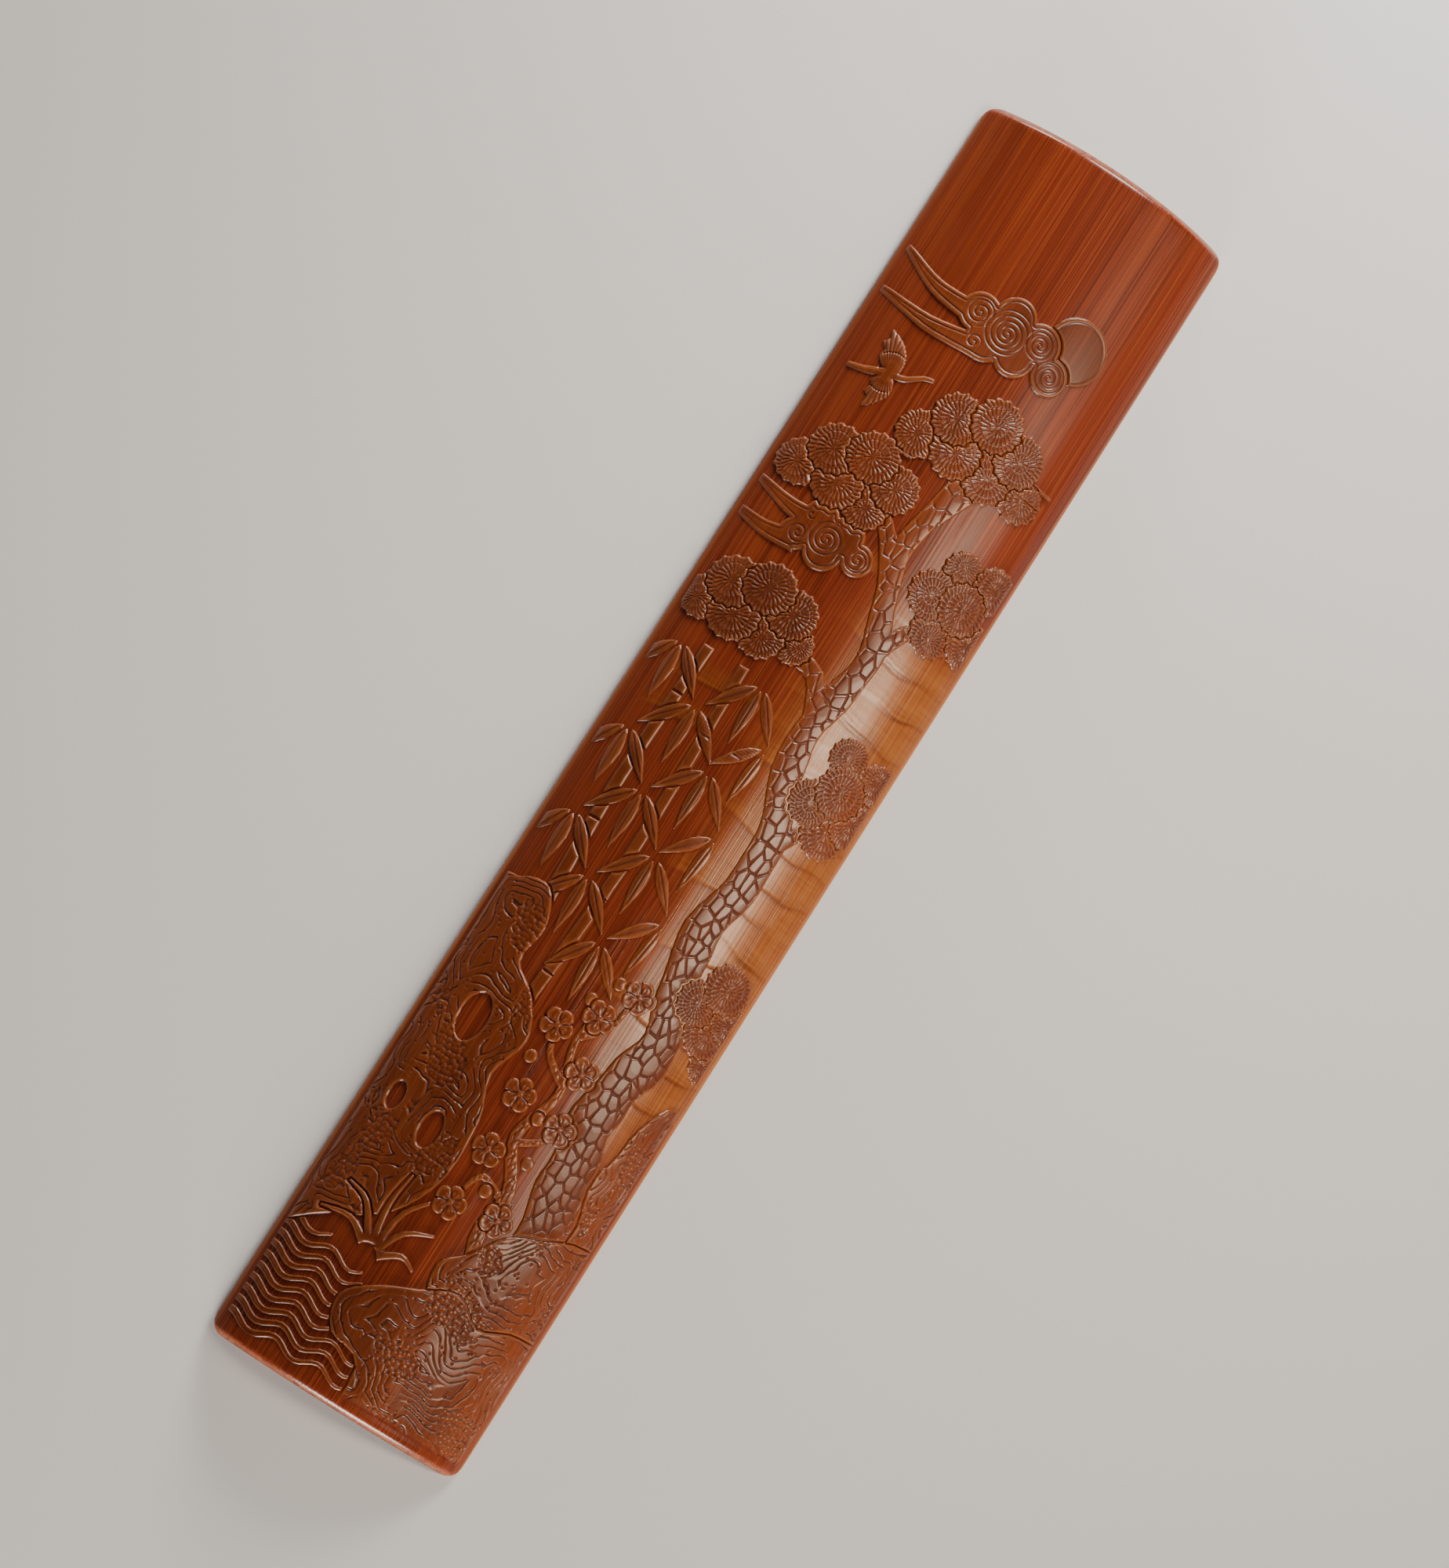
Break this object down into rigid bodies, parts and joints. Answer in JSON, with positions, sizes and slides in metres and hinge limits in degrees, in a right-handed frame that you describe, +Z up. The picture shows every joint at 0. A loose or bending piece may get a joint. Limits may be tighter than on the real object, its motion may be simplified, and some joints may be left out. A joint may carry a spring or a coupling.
{
  "type": "carved bamboo wrist rest",
  "caption": "Arched length of bamboo culm that steadies a writer's wrist, its outer skin carved in low relief with pine, bamboo, plum, rocks, clouds and water.",
  "frame": {"origin": "centre of the bounding box's bottom, on the table, under the middle of the arch", "axes": "+X across the rest to the picture's right, +Y along the culm to the picture's top, +Z up"},
  "size_m": [0.0524, 0.266, 0.0127],
  "materials": {
    "bamboo_fibre": "aged red-brown bamboo fibre, planed smooth and waxed to a satin gloss",
    "bamboo_pith": "scraped pith on the hollow back, matt and paler",
    "bamboo_skin": "aged amber-brown bamboo skin, hard and waxed, a little glossier than the fibre"
  },
  "bodies": {
    "root": {"culm_wall": "bamboo_fibre", "pith_lining": "bamboo_pith", "moon_disc": "bamboo_skin", "cloud_upper": "bamboo_skin", "cloud_middle": "bamboo_skin", "flying_crane": "bamboo_skin", "pine_trunk": "bamboo_skin", "pine_crown": "bamboo_skin", "pine_spray_upper_right": "bamboo_skin", "pine_spray_upper_left": "bamboo_skin", "pine_spray_left": "bamboo_skin", "pine_spray_right": "bamboo_skin", "pine_spray_low": "bamboo_skin", "bamboo_cane_left": "bamboo_skin", "bamboo_cane_right": "bamboo_skin", "bamboo_leaves_high": "bamboo_skin", "bamboo_leaves_low": "bamboo_skin", "plum_branch": "bamboo_skin", "plum_blossoms": "bamboo_skin", "plum_buds": "bamboo_skin", "garden_rock": "bamboo_skin", "rock_bank": "bamboo_skin", "rock_behind_pine": "bamboo_skin", "orchid_tuft": "bamboo_skin", "water_ripples": "bamboo_skin"}
  },
  "joints": []
}
